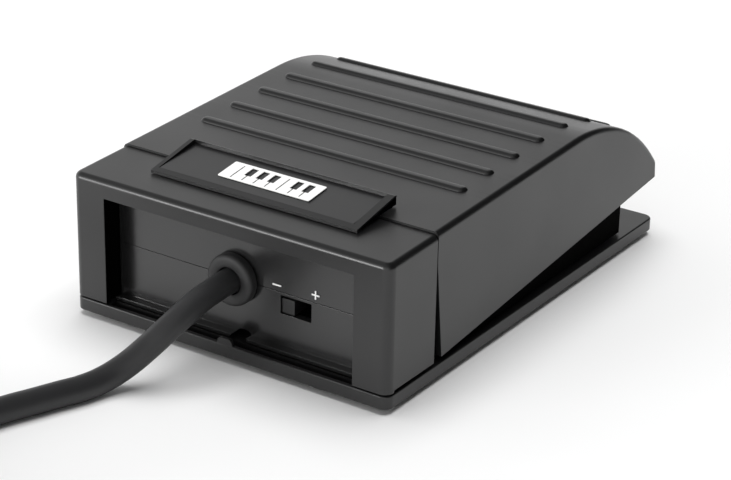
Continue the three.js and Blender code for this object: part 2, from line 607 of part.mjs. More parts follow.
// ---------------------------------------------------------------- assembly
piece('base_plate', basePlate(), SHELL);
Object.entries(FEET).forEach(([place, spot]) => piece(`foot_${place}`, foot(spot), RUBBER));
piece('chassis_tub', chassisTub(), BLACK);
TUB_SCREWS.forEach((spot, i) => piece(`tub_screw_${i + 1}`, screw(spot, 7.6), STEEL));
piece('rear_cover', rearCover(), SHELL);
COVER_SCREWS.forEach((spot, i) => piece(`cover_screw_${i + 1}`, screw(spot, 9.4), STEEL));
piece('rear_panel_lower', lowerPanel(), SHELL);
piece('rear_panel_upper', upperPanel(), SHELL);
piece('cable_gland', cableGland(), SHELL);
piece('polarity_minus_mark', sign(-8.6, 16.75, [[0.95, 0.14]]), WHITE);
piece('polarity_plus_mark', sign(-17.2, 17.1, [[0.85, 0.14], [0.14, 0.85]]), WHITE);
piece('polarity_switch_body', polarityBody(), BLACK);
piece('polarity_slider', polaritySlider(), BLACK);
piece('contact_switch_body', contactBody(), BLACK);
piece('contact_plunger', contactPlunger(), WHITE);
piece('hinge_pin', hingePin(), STEEL);
piece('return_spring', returnSpring(), STEEL);
piece('bumper_right', bumper(-BUMPER.x), RUBBER);
piece('bumper_left', bumper(BUMPER.x), RUBBER);
piece('treadle', treadle(), SHELL);
piece('badge_frame', badgeFrame(), SHELL);
piece('badge_label', badgeLabel(), LABEL);
piece('badge_emblem', badgeEmblem(), WHITE);
WIRES.forEach(([name, look, route]) => piece(name, tube(route, 0.55, 12, 6), look));
piece('cord', tube(CORD_ROUTE, CORD_RADIUS, 16, 10), CORD);
piece('cord_coil', cordCoil(), CORD);
piece('cord_tail', tube(TAIL_ROUTE, CORD_RADIUS, 20, 10), CORD);
piece('cord_tie', cordTie(), RUBBER);
PLUG_PIECES.forEach(([name, look, start, profile]) => piece(name, plugPiece(profile, start), look));

export default pedal;
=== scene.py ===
# Looks for a compact sustain pedal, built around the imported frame. Lengths are millimetres until a
# mesh is made, and places are (x, y, z) with +Y to the rear and +Z up.
import math

import bmesh
import bpy
from mathutils import Matrix, Quaternion, Vector


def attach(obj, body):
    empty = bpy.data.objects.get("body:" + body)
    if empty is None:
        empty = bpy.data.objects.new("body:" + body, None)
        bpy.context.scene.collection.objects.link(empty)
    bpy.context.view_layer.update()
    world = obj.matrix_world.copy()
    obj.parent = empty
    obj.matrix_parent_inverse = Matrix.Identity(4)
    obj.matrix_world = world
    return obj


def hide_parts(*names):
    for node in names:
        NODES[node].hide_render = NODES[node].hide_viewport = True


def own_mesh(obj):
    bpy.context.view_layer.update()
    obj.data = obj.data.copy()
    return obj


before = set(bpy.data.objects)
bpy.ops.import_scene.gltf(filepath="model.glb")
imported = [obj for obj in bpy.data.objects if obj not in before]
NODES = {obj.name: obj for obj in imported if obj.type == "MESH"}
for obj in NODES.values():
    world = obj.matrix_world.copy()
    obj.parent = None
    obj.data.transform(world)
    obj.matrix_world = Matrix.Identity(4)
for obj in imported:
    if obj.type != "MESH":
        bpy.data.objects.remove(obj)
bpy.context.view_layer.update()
MM = 0.001
GAP = 0.3

# ---------------------------------------------------------------- camera
VIEW_AZIMUTH = 213.635
VIEW_ELEVATION = 24.135
VIEW_ROLL = 1.197
VIEW_DISTANCE = 0.45366
VIEW_TARGET = Vector((-0.003895, 0.010226, 0.011548))
LENS = 114.36


def make_camera():
    azimuth, elevation = math.radians(VIEW_AZIMUTH), math.radians(VIEW_ELEVATION)
    back = Vector((
        math.cos(elevation) * math.sin(azimuth),
        -math.cos(elevation) * math.cos(azimuth),
        math.sin(elevation),
    ))
    data = bpy.data.cameras.new("camera")
    data.lens = LENS
    camera = bpy.data.objects.new("camera", data)
    camera.location = VIEW_TARGET + back * VIEW_DISTANCE
    camera.rotation_mode = "QUATERNION"
    roll = Quaternion((0, 0, 1), math.radians(VIEW_ROLL))
    camera.rotation_quaternion = (-back).to_track_quat("-Z", "Y") @ roll
    bpy.context.scene.collection.objects.link(camera)
    bpy.context.scene.camera = camera


make_camera()

# ---------------------------------------------------------------- dimensions
# HEEL, NOSE_FOOT and PIVOT are (y, z), EXIT is (x, z), and feet and screws are (x, y).
HALF_WIDTH = 36
HALF_LENGTH = 50.4
FRONT_CORNER = 2
REAR_CORNER = 1.9
FOOT_DROP = 1.2
PLATE_TOP = 3.8
SEAM_Y = 35.17
COVER_REAR_TOP = 29.5
COVER_SLOPE = 0.03
WALL = 1.3
TREADLE_REAR_Y = 35.0
TREADLE_REAR_TOP = 30.45
TOP_SLOPE = 0.034
NOSE_START_Y = -15
NOSE_RADIUS = 43.6
NOSE_END_Y = -49.5
HEEL = (32.75, 4.95)
NOSE_FOOT = (-50.3, 13.15)
PIVOT = (33.6, 24)
PIN_HOLE = 1.8
RIB_FIRST_Y = 17.2
RIB_PITCH = 9.35
RIB_COUNT = 7
RIB_END_X = 29.45
TUB_HALF = 34.4
TUB_WALL = 1.6
TUB_FRONT_Y = -37.9
HOOK_X = (-12, 9)
HOOK_WIDTH = 3
HOOK_CLEARANCE = 0.6
HOOK_WINDOW_TOP = 12.8
LATCH_Y = -38.3
TUB_REAR_Y = 43.4
TUB_FLOOR = 4.1
TUB_RIM = 15
SPRING_Y = -6
SPRING_BOSS = 3.4
WINDOW_HALF = 28.3
WINDOW_TOP = 25.8
PANEL_FACE_Y = 45.9
PANEL_HALF = 28.4
PANEL_WALL = 1.6
LIP_HALF = 28
PARTING_Z = 15.5
EXIT = (0.9, 15.6)
SLOT = {"right": -16.2, "left": -9.3, "bottom": 11.2, "top": 14.9}
FEET = {
    "foot_front_right": (-24, -41.5),
    "foot_front_left": (24, -41.5),
    "foot_rear_right": (-19.5, 43.5),
    "foot_rear_left": (19.5, 43.5),
}
TUB_SCREWS = [(-28, -30), (28, -30), (-28, 24), (28, 24)]
COVER_SCREWS = [(-31.6, 46.0), (31.6, 46.0)]
SCREW_HOLE = 1.4
SCREW_SINK = 2.6


# ---------------------------------------------------------------- meshes
def add_mesh(name, points, faces):
    mesh = bpy.data.meshes.new(name)
    bm = bmesh.new()
    corners = [bm.verts.new(Vector(p) * MM) for p in points]
    for face in faces:
        bm.faces.new([corners[i] for i in face])
    bmesh.ops.remove_doubles(bm, verts=bm.verts, dist=1e-7)
    bmesh.ops.recalc_face_normals(bm, faces=bm.faces)
    bm.to_mesh(mesh)
    bm.free()
    obj = bpy.data.objects.new(name, mesh)
    bpy.context.scene.collection.objects.link(obj)
    return obj


def rounded(corners, steps=8):
    """A closed outline through (u, v, radius) corners; a corner with a radius becomes an arc."""
    outline = []
    for i, corner in enumerate(corners):
        here, radius = Vector(corner[:2]), (corner[2] if len(corner) > 2 else 0)
        if radius == 0:
            outline.append(here)
            continue
        before = (Vector(corners[i - 1][:2]) - here).normalized()
        after = (Vector(corners[(i + 1) % len(corners)][:2]) - here).normalized()
        half = before.angle(after) / 2
        centre = here + (before + after).normalized() * (radius / math.sin(half))
        first = here + before * (radius / math.tan(half)) - centre
        last = here + after * (radius / math.tan(half)) - centre
        start = math.atan2(first.y, first.x)
        sweep = (math.atan2(last.y, last.x) - start + math.pi) % (2 * math.pi) - math.pi
        for k in range(steps + 1):
            angle = start + sweep * k / steps
            outline.append(centre + Vector((math.cos(angle), math.sin(angle))) * radius)
    return outline


def rectangle(u0, u1, v0, v1, radius=0):
    return rounded([(u0, v0, radius), (u1, v0, radius), (u1, v1, radius), (u0, v1, radius)], 6)


def circle(u, v, radius, steps=32):
    angles = [2 * math.pi * k / steps for k in range(steps)]
    return [Vector((u + radius * math.cos(a), v + radius * math.sin(a))) for a in angles]


def outward(outline):
    """For each point, the step that moves both of its edges outward by 1 mm."""
    area = sum(a.x * b.y - b.x * a.y for a, b in zip(outline, outline[1:] + outline[:1]))
    hand = 1 if area > 0 else -1
    steps = []
    for i, here in enumerate(outline):
        before = (here - outline[i - 1]).normalized()
        after = (outline[(i + 1) % len(outline)] - here).normalized()
        one = Vector((before.y, -before.x)) * hand
        two = Vector((after.y, -after.x)) * hand
        both = one + two
        steps.append(both / both.dot(one))
    return steps


# From a point (u, v) of an outline and a place w on the axis to (x, y, z).
PLACE = {
    "x": lambda u, v, w: (w, u, v),
    "y": lambda u, v, w: (u, w, v),
    "z": lambda u, v, w: (u, v, w),
}


def prism(outline, low, high, axis, rims=(0, 0), levels=(), lift=None, steps=5):
    """The outline drawn out along an axis. rims are the radii of its two rounded ends, levels are
    extra rings between them, and lift(point number, place on the axis) pushes the skin outward."""
    arc = [math.pi / 2 * k / steps for k in range(steps + 1)]

    def rim(end, radius, inward):
        if not radius:
            return [(end, 0)]
        return [(end + inward * radius * (1 - math.cos(a)), radius * (1 - math.sin(a))) for a in arc]

    rings = rim(low, rims[0], 1) + [(level, 0) for level in levels] + rim(high, rims[1], -1)[::-1]
    pushes = outward(outline)
    points = []
    for level, inset in rings:
        for i, (corner, push) in enumerate(zip(outline, pushes)):
            moved = corner + push * ((lift(i, level) if lift else 0) - inset)
            points.append(PLACE[axis](moved.x, moved.y, level))
    count = len(outline)
    faces = [
        (r * count + i, r * count + (i + 1) % count, (r + 1) * count + (i + 1) % count, (r + 1) * count + i)
        for r in range(len(rings) - 1)
        for i in range(count)
    ]
    faces += [tuple(range(count)), tuple(range(len(points) - count, len(points)))]
    return add_mesh("solid", points, faces)


def block(x0, x1, y0, y1, z0, z1):
    return prism(rectangle(x0, x1, y0, y1), z0, z1, "z")


def rod(axis, u, v, radius, low, high, steps=32):
    return prism(circle(u, v, radius, steps), low, high, axis)


def lathe(name, profile, axis, origin, segments=64, reverse=False):
    """Turns (radius, height) points about an axis; the profile starts and ends on the axis or closes."""
    points, faces, rows = [], [], len(profile)
    for k in range(segments):
        angle = 2 * math.pi * k / segments
        for radius, height in profile:
            u, v = radius * math.cos(angle), radius * math.sin(angle)
            along = -height if reverse else height
            turned = PLACE[axis](u, v, along)
            points.append(Vector(turned) + Vector(origin))
    closed = Vector(profile[0]) == Vector(profile[-1])
    for k in range(segments):
        near, far = k * rows, ((k + 1) % segments) * rows
        for i in range(rows - 1):
            ring = [near + i, near + i + 1, far + i + 1, far + i]
            if not closed and profile[i][0] == 0:
                ring = [near + i, near + i + 1, far + i + 1]
            elif not closed and profile[i + 1][0] == 0:
                ring = [near + i, near + i + 1, far + i]
            faces.append(ring)
    return add_mesh(name, points, faces)


def bake(obj):
    """Applies every modifier of an object to its mesh."""
    evaluated = obj.evaluated_get(bpy.context.evaluated_depsgraph_get())
    mesh = bpy.data.meshes.new_from_object(evaluated)
    obj.modifiers.clear()
    obj.data = mesh
    return obj


def combine(target, tools, operation):
    for tool in tools:
        step = target.modifiers.new(operation, "BOOLEAN")
        step.operation = operation
        step.solver = "EXACT"
        step.object = tool
    bake(target)
    for tool in tools:
        bpy.data.objects.remove(tool)
    return target


def cut(target, *tools):
    return combine(target, tools, "DIFFERENCE")


def join(target, *tools):
    return combine(target, tools, "UNION")


def soften(obj, width=0.25, angle=40, segments=2):
    """Rounds the edges that are still sharp."""
    bevel = obj.modifiers.new("bevel", "BEVEL")
    bevel.width = width * MM
    bevel.segments = segments
    bevel.limit_method = "ANGLE"
    bevel.angle_limit = math.radians(angle)
    bevel.miter_outer = "MITER_ARC"
    return bake(obj)


def smooth(obj, sharp=38):
    """Smooth shading that keeps flat faces flat and hard edges hard."""
    obj.data.shade_smooth()
    obj.data.set_sharp_from_angle(angle=math.radians(sharp))
    weighted = obj.modifiers.new("weighted normals", "WEIGHTED_NORMAL")
    weighted.keep_sharp = True
    return obj


def finish_piece(obj, name, material, slot, body, *replaced):
    """Names a piece and hands it to its body and the nodes it stands for. Its slot argument is not used."""
    obj.name = name
    obj.data.name = name
    obj.data.materials.clear()
    obj.data.materials.append(material)
    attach(obj, body)
    if replaced:
        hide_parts(*replaced)
    return obj


# ---------------------------------------------------------------- materials
def new_material(name, colour, roughness):
    material = bpy.data.materials.new(name)
    material.use_nodes = True
    shader = material.node_tree.nodes["Principled BSDF"]
    shader.inputs["Base Color"].default_value = (*colour, 1)
    shader.inputs["Roughness"].default_value = roughness
    return material, material.node_tree, shader


def noise_of(tree, scale, detail=3):
    place = tree.nodes.new("ShaderNodeTexCoord")
    noise = tree.nodes.new("ShaderNodeTexNoise")
    noise.inputs["Scale"].default_value = scale
    noise.inputs["Detail"].default_value = detail
    tree.links.new(place.outputs["Object"], noise.inputs["Vector"])
    return noise.outputs["Fac"]


def ramp_of(tree, value, low, high, from_low=0.3, from_high=0.7):
    spread = tree.nodes.new("ShaderNodeMapRange")
    spread.inputs["From Min"].default_value = from_low
    spread.inputs["From Max"].default_value = from_high
    spread.inputs["To Min"].default_value = low
    spread.inputs["To Max"].default_value = high
    tree.links.new(value, spread.inputs["Value"])
    return spread.outputs["Result"]


def tint_of(tree, value, dark, light):
    mix = tree.nodes.new("ShaderNodeMix")
    mix.data_type = "RGBA"
    mix.inputs["A"].default_value = (*dark, 1)
    mix.inputs["B"].default_value = (*light, 1)
    tree.links.new(value, mix.inputs["Factor"])
    return mix.outputs["Result"]


def bump_of(tree, value, shader, strength, distance):
    bump = tree.nodes.new("ShaderNodeBump")
    bump.inputs["Strength"].default_value = strength
    bump.inputs["Distance"].default_value = distance
    tree.links.new(value, bump.inputs["Height"])
    tree.links.new(bump.outputs["Normal"], shader.inputs["Normal"])


def moulded(name, colour, roughness, gloss=0.5, grain=0.00022, depth=0.000004, spread=0.03):
    """Moulded plastic: a fine spark-eroded grain, with slow changes of sheen and shade. The grain's
    size and depth are in metres."""
    material, tree, shader = new_material(name, colour, roughness)
    shader.inputs["Specular IOR Level"].default_value = gloss
    fine = noise_of(tree, 1 / grain)
    slow = noise_of(tree, 60, 4)
    tree.links.new(ramp_of(tree, slow, roughness - spread, roughness + spread), shader.inputs["Roughness"])
    shades = [tuple(c * k for c in colour) for k in (0.9, 1.1)]
    tree.links.new(tint_of(tree, slow, *shades), shader.inputs["Base Color"])
    bump_of(tree, fine, shader, 0.35, depth)
    return material


def metal(name, colour, roughness, scratch=0.02):
    material, tree, shader = new_material(name, colour, roughness)
    shader.inputs["Metallic"].default_value = 1
    fine = noise_of(tree, 2500, 2)
    tree.links.new(ramp_of(tree, fine, roughness - scratch, roughness + scratch), shader.inputs["Roughness"])
    bump_of(tree, fine, shader, 0.1, 0.000002)
    return material


SHELL = moulded("shell_plastic", (0.008, 0.008, 0.0082), 0.34, gloss=0.6)
# Near-black with almost no reflection: the real colour of the switch bodies and the plug's insulator, and
# painted shade on the badge's pads and inside the cover. The inner tub uses it too.
BLACK_AND_SHADE = moulded("black_plastic_and_painted_shade", (0.0012, 0.0012, 0.0012), 0.7, gloss=0.01)
RUBBER = moulded("black_rubber", (0.05, 0.05, 0.05), 0.7)
JACKET = moulded("cable_jacket", (0.024, 0.024, 0.025), 0.5, gloss=0.45, grain=0.0006, depth=0.000006)
PANEL = moulded("panel_plastic", (0.013, 0.013, 0.0132), 0.22, gloss=0.8)
GLAND = moulded("gland_rubber", (0.022, 0.022, 0.0225), 0.6)
LABEL = moulded("badge_label", (0.006, 0.006, 0.0065), 0.3, gloss=0.9)
WHITE = moulded("white_print", (0.86, 0.86, 0.85), 0.5)
NYLON = moulded("white_nylon", (0.8, 0.8, 0.78), 0.5)
STEEL = metal("zinc_steel", (0.6, 0.6, 0.59), 0.3)
NICKEL = metal("nickel_plate", (0.76, 0.74, 0.7), 0.14)
WIRE_RED = moulded("red_insulation", (0.35, 0.014, 0.011), 0.4)
WIRE_GREY = moulded("grey_insulation", (0.26, 0.26, 0.26), 0.4)

# ---------------------------------------------------------------- cable, coil and plug
# The cable leaves the gland, bends down to the floor and runs to the coil (CORD_ROUTE), then goes
# round the coil and ends in the plug that lies on it (TAIL_ROUTE).
CORD_RADIUS = 2.45
CORD_ROUTE = [
    (0.9, 46.6, 15.6), (0.9, 50, 15.6), (0.9, 53.6, 15.4), (1.1, 56.7, 14.9), (1.7, 60.2, 13.5),
    (3.0, 63.2, 11.4), (5.4, 66.1, 8.1), (8.3, 69.0, 4.7), (10.3, 72.5, 2.9), (11.7, 76.9, 2.45),
    (13.4, 81.0, 2.45), (15.4, 86.0, 2.45), (17.6, 91.4, 2.45), (18.8, 95.7, 2.45),
    (19.1, 100.5, 2.45), (18.5, 105.2, 2.45), (17.3, 109.9, 2.45), (15.4, 114.6, 2.65),
    (13.0, 121.0, 3.2),
]
TAIL_ROUTE = [
    (47.0, 168.8, 23.45), (50.6, 167.3, 23.6), (53.7, 164.9, 24.1), (56.1, 161.8, 24.9),
    (57.6, 158.2, 25.7), (58.1, 154.3, 26.25), (58.1, 148.0, 26.25),
]
COIL_CENTRE = (39, 139)
COIL_MEAN_RADIUS = 25
COIL_HALF_TRAVEL = 5.83
COIL_BASE = 1.1
COIL_LAYERS = 4
COIL_START_DEGREES = 200
COIL_RISE_DEGREES = 75
COIL_STEP_DEGREES = 22.5


def coil_places():
    """(angle turned, radius, height) through four flat spirals, in, out, in and out, with a rise
    after each."""
    pitch = 2 * CORD_RADIUS
    inner, outer = COIL_MEAN_RADIUS - COIL_HALF_TRAVEL, COIL_MEAN_RADIUS + COIL_HALF_TRAVEL
    spiral = (outer - inner) / pitch * 360
    places, turned = [], 0
    for layer in range(COIL_LAYERS):
        height = COIL_BASE + CORD_RADIUS + layer * pitch
        start, end = (outer, inner) if layer % 2 == 0 else (inner, outer)
        count = round(spiral / COIL_STEP_DEGREES)
        places += [
            (turned + spiral * k / count, start + (end - start) * k / count, height)
            for k in range(count + 1)
        ]
        turned += spiral
        for share in (0.25, 0.5, 0.75):
            lifted = share * share * (3 - 2 * share)
            places.append((turned + COIL_RISE_DEGREES * share, end, height + pitch * lifted))
        turned += COIL_RISE_DEGREES
    return places


def coil_route():
    route = []
    for turned, radius, height in coil_places():
        angle = math.radians(COIL_START_DEGREES - turned)
        x, y = COIL_CENTRE[0] + radius * math.cos(angle), COIL_CENTRE[1] + radius * math.sin(angle)
        route.append((x, y, height))
    return route


def make_cord():
    route = CORD_ROUTE + coil_route() + TAIL_ROUTE
    data = bpy.data.curves.new("cable", "CURVE")
    data.dimensions = "3D"
    data.bevel_depth = CORD_RADIUS * MM
    data.bevel_resolution = 6
    data.resolution_u = 10
    data.use_fill_caps = True
    spline = data.splines.new("BEZIER")
    spline.bezier_points.add(len(route) - 1)
    for point, place in zip(spline.bezier_points, route):
        point.co = Vector(place) * MM
        point.handle_left_type = point.handle_right_type = "AUTO"
    cable = bpy.data.objects.new("cable", data)
    bpy.context.scene.collection.objects.link(cable)
    return finish_piece(cable, "cable", JACKET, "cable", "base", "cord", "cord_coil", "cord_tail")


cable = make_cord()


# ---------------------------------------------------------------- treadle
def treadle_top(y):
    return TREADLE_REAR_TOP + TOP_SLOPE * (TREADLE_REAR_Y - y)


def nose_point(y, inset=0):
    """A point of the arc that carries on from the sloping top without a corner."""
    tilt = math.atan(TOP_SLOPE)
    centre_y = NOSE_START_Y - NOSE_RADIUS * math.sin(tilt)
    centre_z = treadle_top(NOSE_START_Y) - NOSE_RADIUS * math.cos(tilt)
    return Vector((y, centre_z + math.sqrt((NOSE_RADIUS - inset) ** 2 - (y - centre_y) ** 2)))


def top_point(y, inset=0):
    return Vector((y, treadle_top(y) - inset)) if y > NOSE_START_Y else nose_point(y, inset)


RIB_HEIGHT = 0.6
RIB_REACH = 1.2
RIB_SHARES = (0, 0.3, 0.45, 0.57, 0.67, 0.76, 0.84, 0.9, 0.95, 1)
LAST_RIB_SHIFT = 0.5
RIB_YS = [RIB_FIRST_Y - RIB_PITCH * i for i in range(RIB_COUNT)]
RIB_YS[-1] += LAST_RIB_SHIFT
TREADLE_WALL = 2


def rib_height(distance):
    """A nearly flat crown between two steep sides."""
    return RIB_HEIGHT * (1 - min(1, distance / RIB_REACH) ** 4)


def treadle_skin():
    """The outline, and for each of its points the distance along the skin from the nearest rib."""
    spots = []
    for y in RIB_YS:
        run = (top_point(y - 0.5) - top_point(y + 0.5)).length
        reach = [share * RIB_REACH for share in RIB_SHARES]
        spots += [(y - d / run, d) for d in [-d for d in reach[1:]] + reach]
    plain = [NOSE_START_Y + (NOSE_END_Y - NOSE_START_Y) * k / 22 for k in range(23)]
    near = [y for y, _ in spots]
    spots += [(y, RIB_REACH) for y in plain if min(abs(y - other) for other in near) > 0.5]
    spots.sort(reverse=True)
    outline = [Vector((40, 0)), Vector((40, treadle_top(40)))]
    distances = [RIB_REACH] * len(outline)
    for y, distance in spots:
        outline.append(top_point(y))
        distances.append(abs(distance))
    nose_end = (NOSE_END_Y, nose_point(NOSE_END_Y).y)
    nose = rounded([nose_end, (-50.0, 16.4, 2), NOSE_FOOT, (NOSE_FOOT[0], 0)])[1:]
    return outline + nose, distances + [RIB_REACH] * len(nose)


def heel_trim():
    """What lies behind the treadle's rear edge and under its lower edge."""
    behind = rounded([(60, -10), (60, 60), (TREADLE_REAR_Y, 60), (TREADLE_REAR_Y, 24, 20), HEEL, (20, -10)])
    under = [Vector((-60, -10)), Vector((-60, 11.9)), Vector((-50.4, 13.13)), Vector(NOSE_FOOT), Vector(HEEL),
             Vector((60, 3)), Vector((60, -10))]
    return [prism(behind, -40, 40, "x"), prism(under, -40, 40, "x")]


def treadle_shell():
    outline, distances = treadle_skin()
    ends = [RIB_END_X + share * RIB_REACH for share in RIB_SHARES]
    levels = sorted([-x for x in ends] + ends)

    def lift(i, x):
        beyond = max(0, abs(x) - RIB_END_X)
        return rib_height(math.hypot(distances[i], beyond))

    shell = prism(outline, -HALF_WIDTH, HALF_WIDTH, "x", (1.15, 1.15), levels, lift, 7)
    hollow_end_y, hollow_half = -46.6, 34.8
    ys = [NOSE_START_Y + (hollow_end_y - NOSE_START_Y) * k / 16 for k in range(17)]
    hollow = [Vector((40, 0)), Vector((40, treadle_top(40) - TREADLE_WALL))]
    hollow += [top_point(y, TREADLE_WALL) for y in ys]
    hollow += [Vector((-47.7, 15.5)), Vector((-48.3, 0))]
    return cut(shell, *heel_trim(), prism(hollow, -hollow_half, hollow_half, "x"))


def treadle_fittings():
    """Ears for the pin, ribs under the top, posts for the switch and bumpers, the spring's boss
    and the two hooks that set the rest height."""
    y, z = PIVOT
    parts = []
    for x in (-32.4, 29.0):
        parts += [rod("x", y, z, 3.9, x, x + 3.4, 48), block(x, x + 3.4, 29.9, 34.4, z, 29.2)]
    parts += [block(x, x + 1.4, -28, 26, 26, 29.2) for x in (-16.7, 15.3)]
    parts += [rod("z", 0, 16, 1.6, 14.65, 29.65), rod("z", 0, SPRING_Y, SPRING_BOSS, 27, 30.4)]
    parts += [rod("z", x, -28, 2, 15.95, 27.95) for x in (-20, 20)]
    for x in HOOK_X:
        left = x + HOOK_WIDTH
        parts += [block(x, left, -42.6, -41.0, 11.9, 22.3), block(x, left, -41.5, LATCH_Y, 11.9, 13.5)]
    return parts


def make_treadle():
    shell = join(treadle_shell(), *treadle_fittings())
    y, z = PIVOT
    cut(shell, rod("x", y, z, PIN_HOLE, -33.4, 33.4))
    smooth(soften(shell, 0.12))
    return finish_piece(shell, "treadle_shell", SHELL, "shell", "treadle_body", "treadle")


make_treadle()

# ---------------------------------------------------------------- badge
BADGE_RIGHT = -23.7
BADGE_LEFT = 23.1
BADGE_REAR_Y = 42.7
BADGE_FRONT_Y = 29.8
BADGE_REAR_TOP = 30.5
BADGE_SLOPE = 0.2
BADGE_HEEL_Y = 34.4
SEAT_REAR_Y = 41.2
SEAT_REAR_Z = 30.57
SEAT_SLOPE = 0.13
RECESS_RIGHT = -22.1
RECESS_LEFT = 22.2
RECESS_REAR_Y = 41.4
RECESS_FRONT_Y = 30.5


def badge_top(y, drop=0):
    return BADGE_REAR_TOP + BADGE_SLOPE * (BADGE_REAR_Y - y) - drop


def label_seat(y):
    return SEAT_REAR_Z + SEAT_SLOPE * (SEAT_REAR_Y - y)


def make_badge():
    """A wedge over the seam, carried by the treadle, with open sides and a recess on top."""
    side = rounded([
        (BADGE_REAR_Y, badge_top(BADGE_REAR_Y)), (BADGE_FRONT_Y, badge_top(BADGE_FRONT_Y), 0.6),
        (BADGE_FRONT_Y + 0.25, 31.55), (31.0, 31.35), (31.0, treadle_top(31.0) + GAP),
        (BADGE_HEEL_Y, treadle_top(BADGE_HEEL_Y) + GAP), (BADGE_REAR_Y, 29.88),
    ])
    plate = prism(side, BADGE_RIGHT, BADGE_LEFT, "x")
    under = [Vector((41.5, 29)), Vector((41.5, badge_top(41.5, 0.4))), Vector((28.9, badge_top(28.9, 0.4))),
             Vector((28.9, 29))]
    reliefs = [prism(under, -25, -22.4, "x"), prism(under, 22.4, 25, "x")]
    recess_side = [
        Vector((RECESS_REAR_Y, label_seat(RECESS_REAR_Y))), Vector((RECESS_REAR_Y, 36)),
        Vector((RECESS_FRONT_Y, 36)), Vector((RECESS_FRONT_Y, label_seat(RECESS_FRONT_Y))),
    ]
    recess = prism(recess_side, RECESS_RIGHT, RECESS_LEFT, "x")
    smooth(soften(cut(plate, recess, *reliefs), 0.14))
    return finish_piece(plate, "badge_plate", SHELL, "shell", "treadle_body", "badge_frame")


make_badge()


def make_shade_pad(x0, x1, name):
    """A dark block in one of the badge's open sides: painted shade standing for the shadow in the gap under
    the badge's plate.
    """
    rear_y, front_y, drop = 41.4, 30.0, 0.45
    side = [
        Vector((rear_y, badge_top(rear_y, drop))), Vector((front_y, badge_top(front_y, drop))),
        Vector((front_y, treadle_top(front_y) + GAP)),
        Vector((BADGE_HEEL_Y, treadle_top(BADGE_HEEL_Y) + GAP)), Vector((rear_y, 30.15)),
    ]
    pad = smooth(soften(prism(side, x0, x1, "x"), 0.1))
    return finish_piece(pad, name, BLACK_AND_SHADE, "inner_black", "treadle_body")


# Painted shade: dark blocks in the badge's two open sides.
make_shade_pad(-23.6, -22.45, "badge_shade_pad_right")
make_shade_pad(22.45, 22.95, "badge_shade_pad_left")


def make_label():
    """The flat face in the badge's recess."""
    thickness = 0.17
    seat = [(y, label_seat(y) + 0.02) for y in (RECESS_REAR_Y - 0.05, RECESS_FRONT_Y + 0.05)]
    side = [Vector((y, z)) for y, z in seat] + [Vector((y, z + thickness)) for y, z in reversed(seat)]
    label = smooth(soften(prism(side, RECESS_RIGHT + 0.1, RECESS_LEFT - 0.1, "x"), 0.08))
    return finish_piece(label, "badge_label_face", LABEL, "label", "treadle_body", "badge_label")


make_label()


# ---------------------------------------------------------------- base and feet
def make_base():
    """The plate, with a groove below the rear window and a small lug at the rear edge."""
    plan = rounded([
        (-HALF_WIDTH, -HALF_LENGTH, FRONT_CORNER), (HALF_WIDTH, -HALF_LENGTH, FRONT_CORNER),
        (HALF_WIDTH, HALF_LENGTH, REAR_CORNER), (-HALF_WIDTH, HALF_LENGTH, REAR_CORNER),
    ])
    plate = prism(plan, FOOT_DROP, PLATE_TOP, "z", (0.1, 0.3), steps=3)
    cut(plate, block(-LIP_HALF, LIP_HALF, 47.9, 49.6, 2.2, PLATE_TOP + 1))
    lug = prism(rounded([(-1.8, 3.2), (2.2, 3.2), (1.6, 5.0, 0.9), (-1.2, 5.0, 0.9)]), 49.65, 50.3, "y")
    join(plate, lug)
    seats = [rod("z", x, y, 5.8, 0, 2.1, 48) for x, y in FEET.values()]
    holes = [rod("z", x, y, SCREW_HOLE, 0, 6, 24) for x, y in TUB_SCREWS + COVER_SCREWS]
    sinks = [rod("z", x, y, SCREW_SINK, 0, 2.8, 32) for x, y in TUB_SCREWS + COVER_SCREWS]
    cut(plate, *seats, *holes, *sinks)
    smooth(soften(plate, 0.15))
    return finish_piece(plate, "base_shell", SHELL, "shell", "base", "base_plate")


make_base()


def make_foot(name, x, y):
    profile = [(0, 0), (4.9, 0), (5.2, 0.05), (5.4, 0.2), (5.5, 0.45), (5.5, 1.8), (0, 1.8)]
    foot = smooth(lathe(name, profile, "z", (x, y, 0)))
    return finish_piece(foot, name + "_pad", RUBBER, "rubber", "base", name)


for foot_name, (foot_x, foot_y) in FEET.items():
    make_foot(foot_name, foot_x, foot_y)


